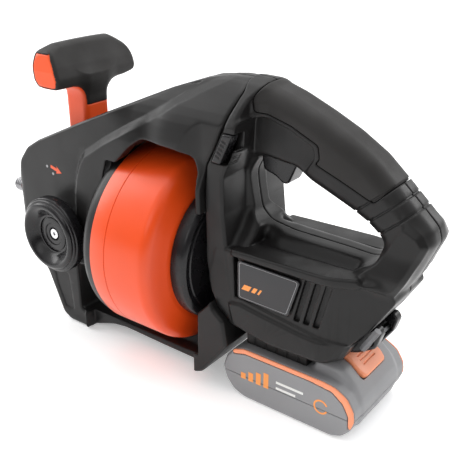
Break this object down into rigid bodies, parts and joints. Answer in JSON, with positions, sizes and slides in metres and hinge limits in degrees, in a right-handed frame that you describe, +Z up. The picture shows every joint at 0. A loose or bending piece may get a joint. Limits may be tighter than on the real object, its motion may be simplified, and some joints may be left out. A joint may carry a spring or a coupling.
{
  "type": "cordless drain auger",
  "caption": "Battery-powered drain auger: spinning cable drum in an open cage, cable nose, push-down T grip, side knob, rear D grip with trigger and slide-off battery.",
  "frame": {"origin": "centre of the battery's bottom face, on the surface that the tool stands on", "axes": "+X towards the rear grip, -X towards the cable nose, +Z up, Y across the tool, drum axis along X"},
  "size_m": [0.407, 0.15, 0.2345],
  "materials": {
    "black_plastic": "fine moulded texture, satin",
    "soft_black": "soft-touch matte",
    "orange_plastic": "semi-gloss moulded",
    "plate_black": "smooth satin film",
    "steel": "bright drawn",
    "brass": "plain",
    "gear_nylon": "natural nylon",
    "circuit_board": "solder mask",
    "grey_plastic": "fine moulded texture",
    "salmon_plastic": "semi-gloss",
    "cell_wrap": "shrink wrap"
  },
  "bodies": {
    "housing": {"front_frame_left": "black_plastic", "front_frame_right": "black_plastic", "rear_housing_left": "black_plastic", "rear_housing_right": "black_plastic", "grip_overmould": "soft_black", "trigger_switch": "black_plastic", "trigger_spring": "steel", "label_plates": "plate_black", "front_bushing": "brass", "rear_bearing": "steel", "nose_collar": "orange_plastic", "idler_pin": "steel", "gear_plate": "gear_nylon", "motor_can": "steel", "motor_end_cap": "gear_nylon", "control_board": "circuit_board", "rail_block": "black_plastic", "contact_blades": "brass", "key_clip": "black_plastic", "housing_screws": "steel", "plunger_spring": "steel"},
    "drum": {"drum_shell": "orange_plastic", "drum_front_cover": "black_plastic", "drum_hub": "black_plastic", "drum_shaft": "steel", "drum_gear": "gear_nylon", "cable_coil": "steel", "cable_lead": "steel", "spring_tip": "steel"},
    "idler": {"idler_gear": "gear_nylon"},
    "rotor": {"motor_armature": "steel", "motor_pinion": "steel", "cooling_fan": "gear_nylon"},
    "trigger": {"trigger": "black_plastic"},
    "selector": {"direction_selector": "black_plastic"},
    "plunger": {"t_handle_core": "orange_plastic", "t_handle_cover": "soft_black", "roller_pin": "steel"},
    "roller": {"feed_roller": "steel"},
    "knob": {"feed_knob": "black_plastic", "knob_spindle": "steel", "knob_screw": "steel"},
    "battery": {"battery_tray": "grey_plastic", "battery_lid": "grey_plastic", "battery_cells": "cell_wrap", "battery_stripes": "salmon_plastic"},
    "button": {"battery_button": "salmon_plastic"},
    "key": {"hex_key": "steel"}
  },
  "joints": [
    {"name": "drum_spin", "type": "hinge", "parent": "housing", "child": "drum", "pos_m": [-0.119, 0, 0.0915], "axis": [1, 0, 0], "continuous": true},
    {"name": "idler_spin", "type": "hinge", "parent": "housing", "child": "idler", "pos_m": [-0.058, -0.02187, 0.10362], "axis": [1, 0, 0], "continuous": true},
    {"name": "rotor_spin", "type": "hinge", "parent": "housing", "child": "rotor", "pos_m": [-0.019, -0.01437, 0.09063], "axis": [1, 0, 0], "continuous": true},
    {"name": "trigger_pull", "type": "slide", "parent": "housing", "child": "trigger", "axis": [0.342, 0, 0.9397], "range_m": [0, 0.006], "stiffness_N_per_m": 600, "springref_m": -0.003, "deforming": ["trigger_spring"]},
    {"name": "direction_select", "type": "slide", "parent": "housing", "child": "selector", "axis": [0, 1, 0], "range_m": [-0.003, 0.003]},
    {"name": "plunger_press", "type": "slide", "parent": "housing", "child": "plunger", "axis": [0, 0, 1], "range_m": [-0.008, 0], "stiffness_N_per_m": 900, "springref_m": 0.005, "deforming": ["plunger_spring"]},
    {"name": "roller_spin", "type": "hinge", "parent": "plunger", "child": "roller", "pos_m": [-0.217, 0, 0.1103], "axis": [0, 1, 0], "continuous": true},
    {"name": "knob_turn", "type": "hinge", "parent": "housing", "child": "knob", "pos_m": [-0.209, -0.05, 0.0885], "axis": [0, -1, 0], "range_deg": [-45, 45]},
    {"name": "battery_slide", "type": "slide", "parent": "housing", "child": "battery", "axis": [1, 0, 0], "range_m": [0, 0.06]},
    {"name": "button_press", "type": "slide", "parent": "battery", "child": "button", "axis": [-0.6198, 0, -0.7848], "range_m": [0, 0.0025], "stiffness_N_per_m": 1500, "springref_m": -0.0015},
    {"name": "key_slide", "type": "slide", "parent": "housing", "child": "key", "axis": [0, -1, 0], "range_m": [0, 0.04]}
  ],
  "couplings": [
    {"joint": "idler_spin", "follows": "drum_spin", "ratio": -4},
    {"joint": "rotor_spin", "follows": "drum_spin", "ratio": 16}
  ]
}
